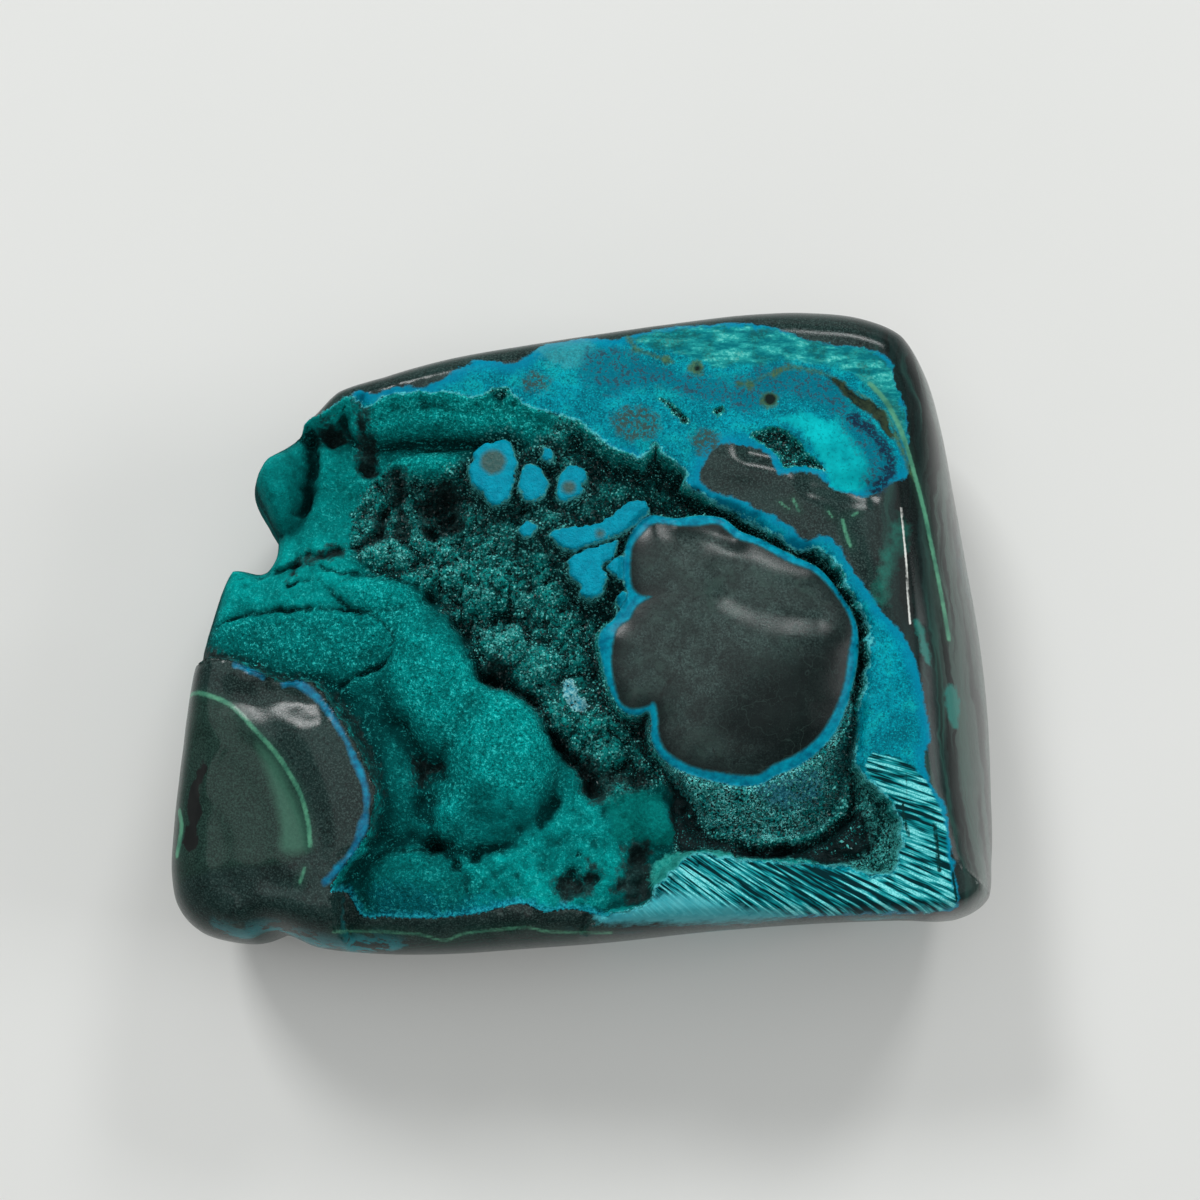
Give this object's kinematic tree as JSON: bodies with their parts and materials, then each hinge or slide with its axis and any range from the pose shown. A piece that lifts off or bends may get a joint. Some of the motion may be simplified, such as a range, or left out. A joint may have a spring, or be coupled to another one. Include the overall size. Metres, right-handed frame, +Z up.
{
  "type": "mineral specimen",
  "caption": "Polished freeform of chrysocolla and malachite: a blocky stone with polished sides and a partly rough, lumpy top, resting flat.",
  "frame": {"origin": "middle of the stone's bounding box in plan, on the surface that its flat base rests on", "axes": "+X along the stone's length, towards the tall sloping polished side; +Y across it, towards the back; +Z up out of the rough, lumpy top"},
  "size_m": [0.1218, 0.0969, 0.0423],
  "materials": {
    "chrysocolla": "part polished, part velvety crust"
  },
  "bodies": {
    "root": {"specimen": "chrysocolla"}
  },
  "joints": []
}
